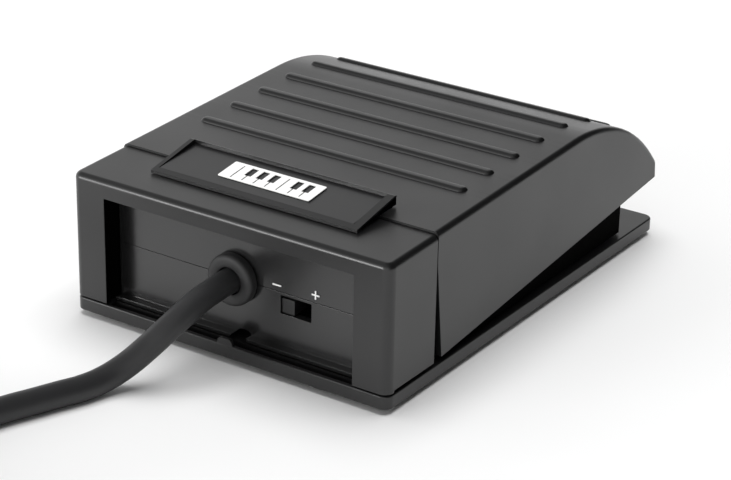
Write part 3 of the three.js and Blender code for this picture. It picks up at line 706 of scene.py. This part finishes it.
# ---------------------------------------------------------------- inner tub
def make_tub():
    """A tray with high cheeks for the pin, a ledge for the hooks and a boss for the spring."""
    cheek = rounded([
        (TUB_REAR_Y, TUB_FLOOR), (TUB_REAR_Y, 20), (38, 27.3, 2), (29, 27.3, 2), (25.5, TUB_RIM, 2),
        (TUB_FRONT_Y, TUB_RIM), (TUB_FRONT_Y, TUB_FLOOR),
    ])
    tub = block(-TUB_HALF, TUB_HALF, TUB_FRONT_Y, TUB_REAR_Y, TUB_FLOOR, TUB_FLOOR + TUB_WALL)
    parts = [prism(cheek, x, x + TUB_WALL, "x") for x in (-TUB_HALF, TUB_HALF - TUB_WALL)]
    parts += [
        block(-TUB_HALF, TUB_HALF, TUB_FRONT_Y, TUB_FRONT_Y + TUB_WALL, TUB_FLOOR, TUB_RIM),
        block(-16, 16, LATCH_Y - 0.9, TUB_FRONT_Y + 0.5, TUB_RIM - 1.2, TUB_RIM),
        rod("z", 0, SPRING_Y, SPRING_BOSS, TUB_FLOOR, 8.5),
    ]
    parts += [rod("z", x, y, 3, TUB_FLOOR, 11) for x, y in TUB_SCREWS]
    join(tub, *parts)
    y, z = PIVOT
    holes = [rod("x", y, z, PIN_HOLE, -40, 40)]
    holes += [rod("z", x, y, SCREW_HOLE, 0, 9.6, 24) for x, y in TUB_SCREWS]
    holes += [block(x - 3.4, x + 3.4, 42.2, TUB_REAR_Y + 1, TUB_FLOOR - 1, 30) for x, _ in COVER_SCREWS]
    holes += [
        block(x - HOOK_CLEARANCE, x + HOOK_WIDTH + HOOK_CLEARANCE,
              TUB_FRONT_Y - 1, TUB_FRONT_Y + TUB_WALL + 0.4, TUB_FLOOR - 1, HOOK_WINDOW_TOP)
        for x in HOOK_X
    ]
    cut(tub, *holes)
    smooth(soften(tub, 0.25))
    return finish_piece(tub, "inner_tub", BLACK_AND_SHADE, "inner_black", "base", "chassis_tub")


make_tub()


# ---------------------------------------------------------------- rear cover
CEILING_REAR_Z = 27.9
INSIDE_TOP = 28.3
SKIRT_GAP_TOP = 4.55


def paint_inside_shade(cover):
    """Paints shade on the cover's inner walls, its screw bosses and the window's sides: these faces are the
    cover's own plastic, and get the matt near-black material because little light reaches them.
    """
    cover.data.materials.append(BLACK_AND_SHADE)
    for face in cover.data.polygons:
        x, y, z = face.center / MM
        x = abs(x)
        inside = x < HALF_WIDTH - WALL + 0.05 and y < HALF_LENGTH - WALL + 0.05 and z < INSIDE_TOP
        jamb = abs(x - WINDOW_HALF) < 0.1 and 45 < y < HALF_LENGTH - 0.2 and abs(face.normal.x) > 0.9
        face.material_index = int(inside or jamb)


def make_cover():
    """A cap with a top that rises to the front, a rear window and a slit above the base's sides."""
    plan = rounded([
        (-HALF_WIDTH, 20), (HALF_WIDTH, 20),
        (HALF_WIDTH, HALF_LENGTH, REAR_CORNER), (-HALF_WIDTH, HALF_LENGTH, REAR_CORNER),
    ], 10)
    cover = prism(plan, PLATE_TOP + GAP, COVER_REAR_TOP, "z", (0, 1.2), steps=8)
    for vertex in cover.data.vertices:
        if vertex.co.z > 20 * MM:
            vertex.co.z += COVER_SLOPE * (HALF_LENGTH * MM - vertex.co.y)
    rear = HALF_LENGTH - WALL
    hollow_side = [
        Vector((10, 0)), Vector((rear, 0)), Vector((rear, CEILING_REAR_Z)),
        Vector((10, CEILING_REAR_Z + COVER_SLOPE * 39)),
    ]
    hollow = prism(hollow_side, WALL - HALF_WIDTH, HALF_WIDTH - WALL, "x")
    front = block(-40, 40, 10, SEAM_Y, -1, 40)
    slit = block(-40, 40, 10, HALF_LENGTH - 2.2, 0, SKIRT_GAP_TOP)
    cut(cover, hollow, front, slit)
    join(cover, *[rod("z", x, y, 2.9, PLATE_TOP + GAP, 28.2, 40) for x, y in COVER_SCREWS])
    screw_holes = [rod("z", x, y, SCREW_HOLE, 0, 11.3, 24) for x, y in COVER_SCREWS]
    cut(cover, block(-WINDOW_HALF, WINDOW_HALF, 47, 52, 0, WINDOW_TOP), *screw_holes)
    smooth(soften(cover, 0.12))
    finish_piece(cover, "rear_cover_shell", SHELL, "shell", "base", "rear_cover")
    paint_inside_shade(cover)


make_cover()


# ---------------------------------------------------------------- rear panel and gland
def panel_cuts():
    """The gland's hole, the switch's window and room for the cover's screw bosses."""
    x, z = EXIT
    tools = [rod("y", x, z, 3.9, 40, 50, 48)]
    tools.append(block(SLOT["right"], SLOT["left"], 40, 48, SLOT["bottom"], SLOT["top"]))
    return tools + [rod("z", bx, by, 3.2, 0, 40) for bx, by in COVER_SCREWS]


def make_panels():
    """Two plates that part near the middle of the gland, the lower one with a lip and a notch."""
    bottom, inner_y, parting_gap = PLATE_TOP + GAP, PANEL_FACE_Y - PANEL_WALL, 0.06
    lower = block(-PANEL_HALF, PANEL_HALF, inner_y, PANEL_FACE_Y, bottom, PARTING_Z - parting_gap)
    join(lower, block(-LIP_HALF, LIP_HALF, PANEL_FACE_Y - 1, PANEL_FACE_Y + 1.9, bottom, bottom + 0.7))
    notch = prism(rounded([(-3.1, 0), (1.0, 0), (1.0, 5.5, 1.8), (-3.1, 5.5, 1.8)]), 42, 50, "y")
    cut(lower, notch, *panel_cuts())
    upper = block(-PANEL_HALF, PANEL_HALF, inner_y, PANEL_FACE_Y, PARTING_Z + parting_gap, 27.6)
    cut(upper, *panel_cuts())
    for panel, name in ((lower, "rear_panel_lower"), (upper, "rear_panel_upper")):
        smooth(soften(panel, 0.12))
        finish_piece(panel, name + "_face", PANEL, "shell", "base", name)


make_panels()


def make_gland():
    """A sleeve with a flange inside the panel and a rounded collar outside it."""
    start_y, bore, collar = 42.4, CORD_RADIUS + 0.3, 5.12
    face = PANEL_FACE_Y + GAP - start_y
    profile = [(bore, 0), (5, 0), (5, 1.5), (3.5, 1.5), (3.5, face), (5.02, face), (collar, face + 0.12)]
    profile += [(collar, face + 1.1), (5.03, face + 1.5), (4.8, face + 1.8), (4.45, face + 2)]
    profile += [(4.0, face + 2.05), (3.1, face + 2.05), (bore, face + 1.85), (bore, 0)]
    gland = smooth(lathe("gland", profile, "y", (EXIT[0], start_y, EXIT[1]), 72))
    return finish_piece(gland, "gland_collar", GLAND, "shell", "base", "cable_gland")


make_gland()


# ---------------------------------------------------------------- polarity switch
def make_slider():
    """The knob, with a foot that sits in the switch's body."""
    right, bottom = SLOT["left"] - GAP - 2.6, SLOT["bottom"] + 0.1
    foot = block(right + 0.2, SLOT["left"] + 0.05, 41.5, 43.9, bottom, 14.1)
    knob = block(right, SLOT["left"] - 0.1, 43.5, PANEL_FACE_Y - 0.4, bottom, 14.2)
    slider = smooth(soften(join(foot, knob), 0.15))
    return finish_piece(slider, "slider_knob", SHELL, "inner_black", "slider", "polarity_slider")


make_slider()


# ---------------------------------------------------------------- return spring
def make_spring():
    """A wire wound between the tub's boss and the treadle's. The real one is squashed as the treadle goes
    down; this script does not squash it.
    """
    radius, wire, turns, bottom, top = 4.4, 0.5, 6.5, 6.6, 28.85
    steps, sides = 32, 12
    count = int(turns * steps)
    points = []
    for k in range(count + 1):
        angle, height = 2 * math.pi * k / steps, bottom + (top - bottom) * k / count
        out = Vector((math.cos(angle), math.sin(angle), 0))
        for s in range(sides):
            tilt = 2 * math.pi * s / sides
            ring = out * (radius + wire * math.cos(tilt)) + Vector((0, 0, height + wire * math.sin(tilt)))
            points.append(ring + Vector((0, SPRING_Y, 0)))
    faces = [
        (k * sides + s, k * sides + (s + 1) % sides, (k + 1) * sides + (s + 1) % sides, (k + 1) * sides + s)
        for k in range(count)
        for s in range(sides)
    ]
    faces += [tuple(range(sides)), tuple(range(len(points) - sides, len(points)))]
    spring = smooth(add_mesh("spring", points, faces))
    finish_piece(spring, "return_spring_wire", STEEL, "steel", "base", "return_spring")
    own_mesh(spring)


make_spring()


# ---------------------------------------------------------------- tie and plug
PLUG = (58.1, 154, 26.25)
JACK_RADIUS = 3.175
TIE_TURN_DEGREES = -110
TIE_HALF_WIDTH = 4
TIE_HALF_SPAN = 8.8
TIE_HEIGHT = 21
TIE_WALL = 0.8


def make_plug():
    """The plug's pieces, each turned about the cable's line, as (radius, distance along -Y)."""
    boot = [(2.6, 0), (3.2, 0), (3.35, 0.2)]
    ring_count, ring_pitch, ring_growth = 4, 2.6, 0.14
    for ring in range(ring_count):
        start, radius = 0.6 + ring_pitch * ring, 3.35 + ring_growth * ring
        boot += [(radius, start + 1.5), (radius - 0.45, start + 1.75), (radius - 0.45, start + 2.35),
                 (radius + 0.1, start + ring_pitch)]
    boot += [(3.9, 11), (2.6, 11), (2.6, 0)]
    grip = [
        (0, 11.3), (4.4, 11.3), (4.75, 11.7), (5.2, 13), (5.25, 14), (5.25, 35.6), (5.1, 36.8),
        (4.7, 37.6), (4.4, 37.8), (0, 37.8),
    ]
    sleeve = [
        (0, 38.1), (4.15, 38.1), (4.3, 38.25), (4.3, 39.5), (4.2, 39.7), (JACK_RADIUS, 39.7),
        (JACK_RADIUS, 58.4), (3.0, 58.6), (0, 58.6),
    ]
    insulator = [(0, 58.9), (3.1, 58.9), (3.1, 59.9), (0, 59.9)]
    tip = [
        (0, 60.2), (3.1, 60.2), (JACK_RADIUS, 60.3), (JACK_RADIUS, 61.8), (3.0, 62.3), (2.1, 63.5),
        (2.0, 63.9), (2.05, 64.3), (2.7, 65.2), (2.95, 65.7), (3.0, 66.1), (2.85, 66.7), (1.6, 68.5),
        (1.0, 68.95), (0.5, 69.1), (0, 69.1),
    ]
    pieces = []
    for node, profile, material, slot in (
        ("plug_boot", boot, JACKET, "cable"), ("plug_grip", grip, JACKET, "cable"),
        ("plug_sleeve", sleeve, NICKEL, "nickel"), ("plug_insulator", insulator, BLACK_AND_SHADE, "inner_black"),
        ("plug_tip", tip, NICKEL, "nickel"),
    ):
        piece = smooth(lathe(node, profile, "y", PLUG, 48, reverse=True))
        pieces.append(finish_piece(piece, node + "_turned", material, slot, "base", node))
    return pieces


def make_tie():
    """A flat strap closed round the coil's bundle of turns."""
    inner, outer = COIL_MEAN_RADIUS - TIE_HALF_SPAN, COIL_MEAN_RADIUS + TIE_HALF_SPAN
    outside = rectangle(inner - TIE_WALL, outer + TIE_WALL, 0, TIE_HEIGHT + TIE_WALL, 2)
    hole = rectangle(inner, outer, TIE_WALL, TIE_HEIGHT, 1.3)
    strap = prism(outside, -TIE_HALF_WIDTH, TIE_HALF_WIDTH, "y")
    cut(strap, prism(hole, -TIE_HALF_WIDTH - 1, TIE_HALF_WIDTH + 1, "y"))
    turn = Matrix.Rotation(math.radians(TIE_TURN_DEGREES), 4, "Z")
    strap.data.transform(Matrix.Translation(Vector((*COIL_CENTRE, 0)) * MM) @ turn)
    smooth(soften(strap, 0.15))
    return finish_piece(strap, "tie_strap", RUBBER, "rubber", "base", "cord_tie")


plug_pieces = make_plug()
tie = make_tie()

# ---------------------------------------------------------------- nodes that keep their own shape
# Each with its material and its colour slot.
KEPT = {
    "polarity_minus_mark": (WHITE, "white_print"),
    "polarity_plus_mark": (WHITE, "white_print"),
    "polarity_switch_body": (BLACK_AND_SHADE, "inner_black"),
    "contact_switch_body": (BLACK_AND_SHADE, "inner_black"),
    "contact_plunger": (NYLON, "white_plastic"),
    "hinge_pin": (STEEL, "steel"),
    "bumper_right": (RUBBER, "rubber"),
    "bumper_left": (RUBBER, "rubber"),
    "badge_emblem": (WHITE, "white_print"),
    "wire_signal": (WIRE_RED, "wire_red"),
    "wire_ground": (WIRE_GREY, "wire_grey"),
    "wire_contact": (WIRE_RED, "wire_red"),
}
KEPT.update({f"tub_screw_{i + 1}": (STEEL, "steel") for i in range(len(TUB_SCREWS))})
KEPT.update({f"cover_screw_{i + 1}": (STEEL, "steel") for i in range(len(COVER_SCREWS))})
for node_name, (look, slot_name) in KEPT.items():
    node = NODES[node_name]
    node.data.materials.clear()
    node.data.materials.append(look)


# ---------------------------------------------------------------- floor, world and lights
FLOOR_HALF = 4000


def make_floor():
    corners = [(-1, -1), (1, -1), (1, 1), (-1, 1)]
    floor = add_mesh("floor", [(u * FLOOR_HALF, v * FLOOR_HALF, 0) for u, v in corners], [(0, 1, 2, 3)])
    material, _, shader = new_material("pale_floor", (0.9, 0.9, 0.9), 0.6)
    shader.inputs["Specular IOR Level"].default_value = 0.1
    floor.data.materials.append(material)


def make_world():
    """A studio that is bright at +X and +Y, which is to the left of the camera and behind it, dark on
    the other side, and brighter near the horizon than overhead."""
    rear_weight = 1.45
    world = bpy.data.worlds.new("studio")
    world.use_nodes = True
    tree = world.node_tree
    background = tree.nodes["Background"]
    place = tree.nodes.new("ShaderNodeTexCoord")
    parts = tree.nodes.new("ShaderNodeSeparateXYZ")
    tree.links.new(place.outputs["Generated"], parts.inputs["Vector"])
    behind = tree.nodes.new("ShaderNodeMath")
    behind.operation = "MAXIMUM"
    tree.links.new(parts.outputs["Y"], behind.inputs[0])
    behind.inputs[1].default_value = 0
    toward = tree.nodes.new("ShaderNodeMath")
    toward.operation = "MULTIPLY_ADD"
    tree.links.new(behind.outputs["Value"], toward.inputs[0])
    toward.inputs[1].default_value = rear_weight
    tree.links.new(parts.outputs["X"], toward.inputs[2])
    side = ramp_of(tree, toward.outputs["Value"], 0.01, 1.1, from_low=0.04, from_high=0.42)
    height = ramp_of(tree, parts.outputs["Z"], 1.25, 0.3, from_low=0.08, from_high=0.75)
    level = tree.nodes.new("ShaderNodeMath")
    level.operation = "MULTIPLY"
    tree.links.new(side, level.inputs[0])
    tree.links.new(height, level.inputs[1])
    tree.links.new(level.outputs["Value"], background.inputs["Strength"])
    background.inputs["Color"].default_value = (1, 1, 1, 1)
    bpy.context.scene.world = world


def softbox(name, toward, distance, width, height, power, mirrored=True):
    """A rectangular light that faces the origin from one direction, hidden from the camera."""
    data = bpy.data.lights.new(name, "AREA")
    data.shape = "RECTANGLE"
    data.size, data.size_y = width, height
    data.energy = power
    light = bpy.data.objects.new(name, data)
    direction = Vector(toward).normalized()
    light.location = direction * distance
    light.rotation_mode = "QUATERNION"
    light.rotation_quaternion = direction.to_track_quat("Z", "Y")
    light.visible_camera = False
    light.visible_glossy = mirrored
    bpy.context.scene.collection.objects.link(light)


make_floor()
make_world()
softbox("low_left", (0.505, 0.846, 0.17), distance=1.4, width=0.7, height=0.24, power=9)
softbox("overhead", (-0.03, -0.1, 1), distance=1.6, width=1.4, height=1.4, power=26.5, mirrored=False)
bpy.context.scene.view_settings.view_transform = "Standard"
